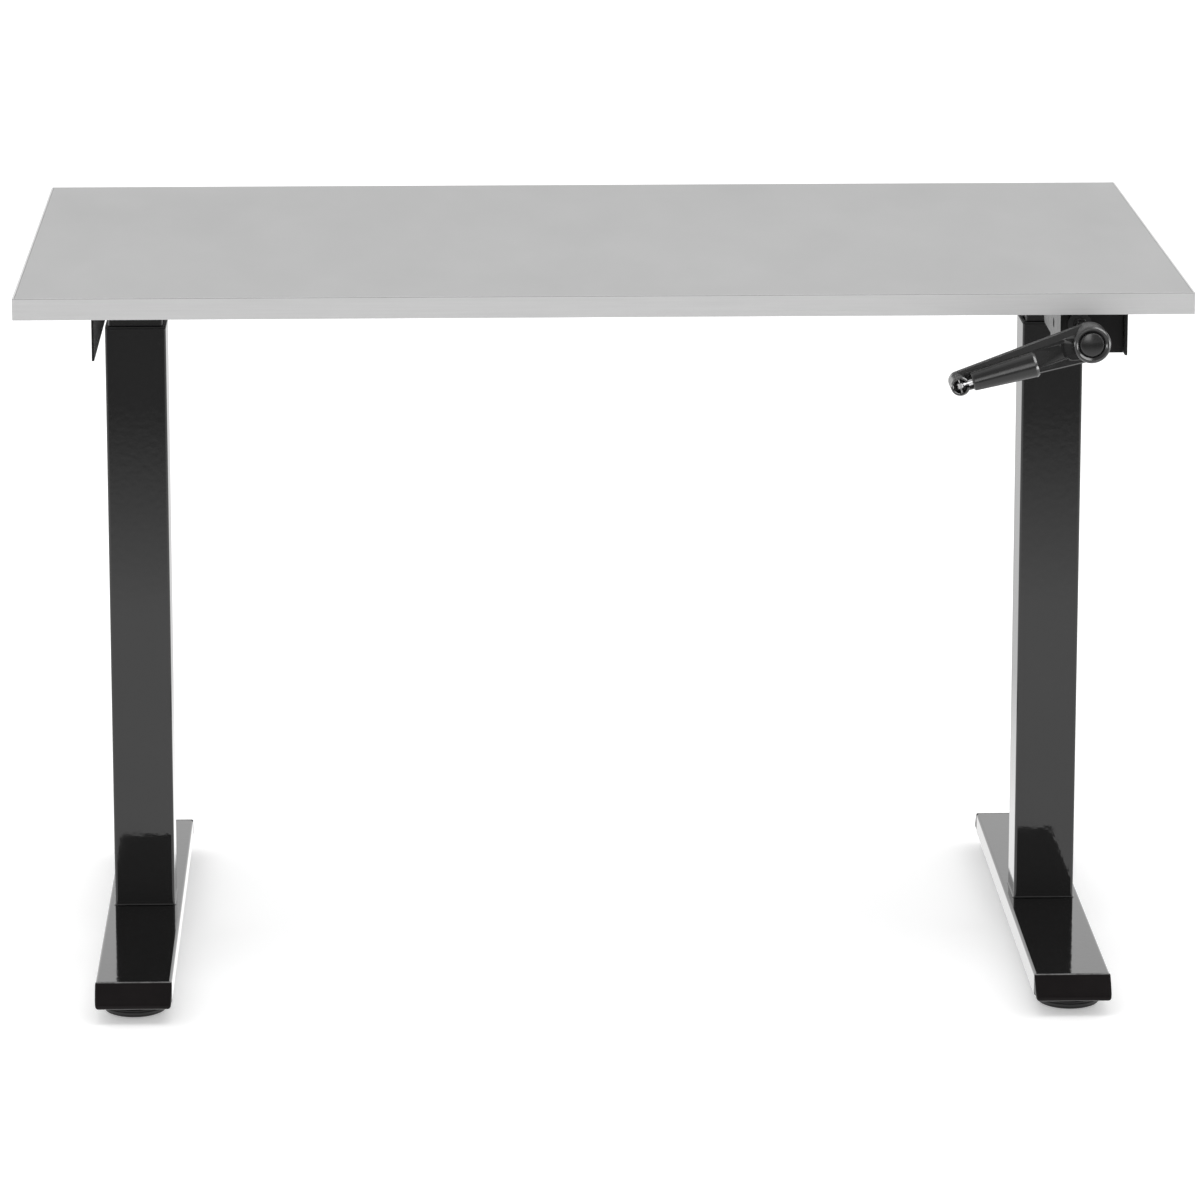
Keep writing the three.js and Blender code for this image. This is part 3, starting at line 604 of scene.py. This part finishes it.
def foot_cap(node):
    low, high = (1000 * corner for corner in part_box(node))
    x = (low.x + high.x) / 2
    end = 1 if high.y > 0 else -1
    start = (high.y if end > 0 else -low.y) - 24
    # Each row is distance past the beam's end, half width, lowest, highest, lower and upper corner radius.
    rows = [
        (-17.7, 36.9, 20.2, 37.8, 1.2, 1.2),
        (-17, 37.6, 19.4, 38.6, 1.4, 1.4),
        (0, 37.6, 19.4, 38.6, 1.4, 1.4),
        (0, 39.6, 17.4, 40.6, 5.6, 1.2),
        (0.5, 40, 17, 41, 6, 1.4),
        (2.4, 40, 17, 41, 6, 1.4),
        (3.2, 40, 17, 40.78, 6, 1.5),
        (4, 40, 17, 40.2, 6, 1.6),
        (5, 40, 17, 39.3, 6, 1.7),
        (11, 39.95, 17, 34.2, 6, 1.9),
        (17, 39.8, 17, 28.9, 5.4, 2.2),
        (20, 39.6, 17.15, 26.2, 4.4, 2.2),
        (22.3, 39.2, 17.6, 24.2, 3.2, 2.1),
        (23.5, 38.6, 18.3, 22.9, 2.2, 1.8),
        (24, 37.8, 19.1, 21.9, 1.3, 1.3),
    ]
    rings = []
    for past, *section in rows:
        y = end * (start + past)
        rings.append([(x + across, y, up) for across, up in round_corners(*section)])
    cap = shade(stack(node + "_moulding", rings), 44)
    settle(cap, BODY_OF[node], "cap_plastic", node)


def glide(node):
    low, high = (1000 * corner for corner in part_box(node))
    tread = [(26, 0), (28.3, 0.3), (31.4, 1.7), (32.5, 3.1), (33, 4.8), (32.9, 6.2), (32.2, 6.9)]
    dome = [(32.2, 7.6), (32.3, 8.4), (30.6, 10), (27, 11.9), (21, 13.4), (14, 14.4)]
    neck = [(12.4, 14.9), (11.8, 15), (5.2, 15), (4.5, 14.6), (4.5, 6)]
    middle = ((low.x + high.x) / 2, (low.y + high.y) / 2, low.z)
    pad = aim(turned(node + "_moulding", tread + dome + neck, 80), UP, middle)
    settle(shade(pad, 36), BODY_OF[node], "rubber", node)


def stud(node):
    """A threaded stud: shallow rings stand for its thread."""
    low, high = (1000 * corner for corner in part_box(node))
    profile, z = [(3.2, 0), (3.7, 0.5)], 0.9
    while z < high.z - low.z - 1.4:
        profile += [(4.2, z), (4.2, z + 0.25), (3.75, z + 0.65)]
        z += 1.25
    profile += [(4.2, z), (4.2, high.z - low.z - 0.6), (3.5, high.z - low.z)]
    middle = ((low.x + high.x) / 2, (low.y + high.y) / 2, low.z)
    thread = shade(aim(turned(node + "_thread", profile, 32), UP, middle), 30)
    settle(thread, BODY_OF[node], "zinc", node)


def paint_bead(side):
    """The paint that has run into the corner between a leg and its foot."""
    low, high = (1000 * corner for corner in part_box(f"{side}_outer_tube"))
    x, y, half = (low.x + high.x) / 2, (low.y + high.y) / 2, (high.x - low.x) / 2
    rings = []
    slope = ((1.2, 0.05), (0.65, 0.16), (0.3, 0.4), (0.12, 0.8), (0.04, 1.3))
    inside = ((-0.3, 1.3), (-0.3, 0.05))
    for outset, up in slope + inside:
        outline = round_corners(half + outset, -half - outset, half + outset, 3 + outset, 3 + outset)
        rings.append([(x + across, y + depth, low.z + up) for across, depth in outline])
    settle(shade(stack(f"{side}_paint_bead", rings, True), 50), "base", "black_paint")


def feet():
    for side in SIDES:
        paint_bead(side)
        for place, _ in ENDS:
            foot_cap(f"{side}_{place}_foot_cap")
            glide(f"{side}_{place}_glide_pad")
            stud(f"{side}_{place}_glide_stud")


# ---------------------------------------------------------------- screws
def hexagon_bolt(name, x, y, top):
    """A bolt whose washer meets the plate above it."""
    bolt = aim(turned(name, [(7.1, -1.4), (7.1, -0.1)], 40), UP)
    combine(bolt, aim(hexagon_tool(13, -6.8, -1.4), UP), "UNION")
    combine(bolt, aim(turned("shank", [(3.6, -2), (3.6, 13), (3, 14)], 32), UP), "UNION")
    shade(soften(tidy(bolt, 0.3), 0.25, 2, 40), 34)
    return shift(bolt, (x, y, top))


def pan_head_mesh():
    """A pan head with a cross recess, looking down, and its top at zero."""
    rim = [(1.9, 0.8), (1.9, 0), (4.4, 0), (4.55, -0.3)]
    crown = [(4.3, -1.3), (3.6, -2.1), (2.4, -2.5), (0.9, -2.65)]
    head = aim(turned("pan_head", rim + crown, 40), UP)
    for x, y in ((2.3, 0.45), (0.45, 2.3)):
        combine(head, block("recess", (-x, -y, -4), (x, y, -1.4)), "DIFFERENCE")
    shade(head, 34)
    mesh = head.data
    bpy.data.objects.remove(head)
    return mesh


def screws():
    for side in SIDES:
        low, high = (1000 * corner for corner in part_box(f"{side}_foot_beam"))
        for place, end in ENDS:
            bolt = hexagon_bolt(f"{side}_{place}_foot_bolt", (low.x + high.x) / 2, DESK_Y + end * 22, 39)
            settle(bolt, "base", "zinc")
    mesh = pan_head_mesh()
    places = []
    for side, sign in (("left", -1), ("right", 1)):
        bracket = [1000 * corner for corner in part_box(f"{side}_side_bracket")]
        web = bracket[1].x if sign < 0 else bracket[0].x
        for number, y in enumerate((-260, -130, 130, 260), 1):
            places.append((f"{side}_bracket_screw_{number}", web + sign * 13.75, y, bracket[1].z - 2.55))
        plate = [1000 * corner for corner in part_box(f"{side}_head_plate")]
        outer, inner = (plate[0].x, plate[1].x) if sign < 0 else (plate[1].x, plate[0].x)
        corners = [(x, y) for x in (outer - sign * 10, inner + sign * 10) for y in (-74, 74)]
        for number, (x, y) in enumerate(corners, 1):
            places.append((f"{side}_head_screw_{number}", x, y, plate[0].z - 0.05))
    crank_plate = [1000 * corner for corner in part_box("crank_bracket")]
    for number, y in enumerate((-250, -160), 1):
        places.append((f"crank_bracket_screw_{number}", crank_plate[0].x + 15, y, crank_plate[1].z - 2.55))
    for name, x, y, z in places:
        screw = new_piece(name, mesh)
        screw.location = Vector((x, y + DESK_Y, z)) * MM
        settle(screw, "top_frame", "black_paint")


def plain_parts():
    """CAD parts whose shape is right as it is get only their finish."""
    for name, node in frame["nodes"].items():
        if not node.hide_render:
            node.data.materials.clear()
            node.data.materials.append(MATERIALS[SLOT_OF[name]])


# ---------------------------------------------------------------- stage, camera and light
def stage():
    size, floor_level = 60, CAD_BOX[0].z
    bm = bmesh.new()
    bmesh.ops.create_grid(bm, x_segments=8, y_segments=8, size=size)
    mesh = bpy.data.meshes.new("floor")
    bm.to_mesh(mesh)
    bm.free()
    floor = new_piece("floor", mesh)
    floor.location.z = floor_level - 0.0002
    glow = {"Emission_Color": (1, 1, 1, 1), "Emission_Strength": 0.32}
    f = Finish("pale_floor", Roughness=0.9, Specular_IOR_Level=0.1, **glow)
    paint = f.mix(f.span(f.noise(2, 2), 0.3, 0.7), gray(0.905), gray(0.915))
    mesh.materials.append(f.finish(paint))
    floor_card()


def floor_card():
    """What the gloss paint mirrors in place of the floor: dim towards the user, brightest round the desk."""
    bm = bmesh.new()
    bmesh.ops.create_grid(bm, x_segments=8, y_segments=8, size=9)
    bmesh.ops.translate(bm, vec=(0, 0, CAD_BOX[0].z + 0.004), verts=bm.verts)
    mesh = bpy.data.meshes.new("floor_card")
    bm.to_mesh(mesh)
    bm.free()
    card = new_piece("floor_card", mesh)
    f = Finish("floor_card")
    split = f.nodes.new("ShaderNodeSeparateXYZ")
    f.links.new(f.coords, split.inputs[0])
    before = f.span(split.outputs["Y"], -3.0, -1.6, 0.3, 1.35)
    behind = f.span(split.outputs["Y"], 0.5, 1.2, 1.0, 0.62)
    glow = f.nodes.new("ShaderNodeEmission")
    f.links.new(f.math("MULTIPLY", before, behind), glow.inputs["Strength"])
    f.links.new(glow.outputs[0], f.nodes["Material Output"].inputs["Surface"])
    mesh.materials.append(f.made)
    card.visible_camera = card.visible_diffuse = card.visible_shadow = card.visible_transmission = False


def camera():
    yaw, pitch, roll = 0.03189, 0.22551, 0.00016
    ahead = Vector((math.sin(yaw) * math.cos(pitch), math.cos(yaw) * math.cos(pitch), -math.sin(pitch)))
    right = Vector((math.cos(yaw), -math.sin(yaw), 0))
    up = right.cross(ahead)
    right, up = right * math.cos(roll) + up * math.sin(roll), up * math.cos(roll) - right * math.sin(roll)
    data = bpy.data.cameras.new("camera")
    data.sensor_width = 36
    data.lens = 181.06
    data.clip_end = 200
    made = bpy.data.objects.new("camera", data)
    middle = (CAD_BOX[0] + CAD_BOX[1]) / 2
    eye = Matrix.Translation((middle.x - 0.19754, middle.y - 6.35722, 1.83683))
    made.matrix_world = eye @ Matrix((right, up, -ahead)).transposed().to_4x4()
    bpy.context.scene.collection.objects.link(made)
    bpy.context.scene.camera = made


def softbox(name, place, target, size, power):
    data = bpy.data.lights.new(name, "AREA")
    data.shape = "RECTANGLE"
    data.size, data.size_y = size
    data.energy = power
    lamp = bpy.data.objects.new(name, data)
    lamp.location = place
    lamp.visible_camera = False
    lamp.rotation_euler = (Vector(target) - Vector(place)).to_track_quat("-Z", "Y").to_euler()
    bpy.context.scene.collection.objects.link(lamp)
    return lamp


def crank_lamp(name, place, size, power):
    """A card that only the crank mirrors, as it is the one piece in the photograph with bright rims."""
    lamp = softbox(name, place, CRANK_TARGET, size, power)
    lamp.visible_diffuse = False
    receivers = bpy.data.collections.new(name)
    for piece in CRANK_PIECES:
        receivers.objects.link(bpy.data.objects[piece])
    lamp.light_linking.receiver_collection = receivers


def light():
    world = bpy.data.worlds.new("studio")
    bpy.context.scene.world = world
    world.use_nodes = True
    nodes, links = world.node_tree.nodes, world.node_tree.links
    coords = nodes.new("ShaderNodeTexCoord")
    split = nodes.new("ShaderNodeSeparateXYZ")
    links.new(coords.outputs["Generated"], split.inputs[0])
    strength = nodes.new("ShaderNodeMath")
    strength.operation = "MULTIPLY"
    for factor, (axis, limits) in enumerate((("Z", (0.25, 0.95, 1.25, 0.7)), ("Y", (-0.9, 0.1, 0.5, 1)))):
        ramp = nodes.new("ShaderNodeMapRange")
        for socket, number in zip(ramp.inputs[1:5], limits):
            socket.default_value = number
        links.new(split.outputs[axis], ramp.inputs["Value"])
        links.new(ramp.outputs["Result"], strength.inputs[factor])
    links.new(strength.outputs[0], nodes["Background"].inputs["Strength"])
    nodes["Background"].inputs["Color"].default_value = (1, 1, 1, 1)
    softbox("overhead", (0, 3, 4.2), (0, 3, 0), (8, 8), 70)
    softbox("above_user", (0, -1.5, 3.2), (0, -0.4, 0.6), (2.4, 1.2), 24).visible_glossy = False
    crank_lamp("left_card", (-2.8, -0.7, 0.38), (1.9, 0.74), 36)
    crank_lamp("right_card", (2.9, -0.7, 0.38), (1.7, 0.9), 60)
    crank_lamp("front_card", (0.2, -3.8, 1.7), (1, 2), 22)
    crank_lamp("high_card", (1.75, -0.84, 2.37), (2, 2), 90)
    bpy.context.scene.view_settings.view_transform = "Standard"


rounded_parts()
crank_arm()
hub_cap()
grip()
feet()
screws()
plain_parts()
stage()
camera()
light()
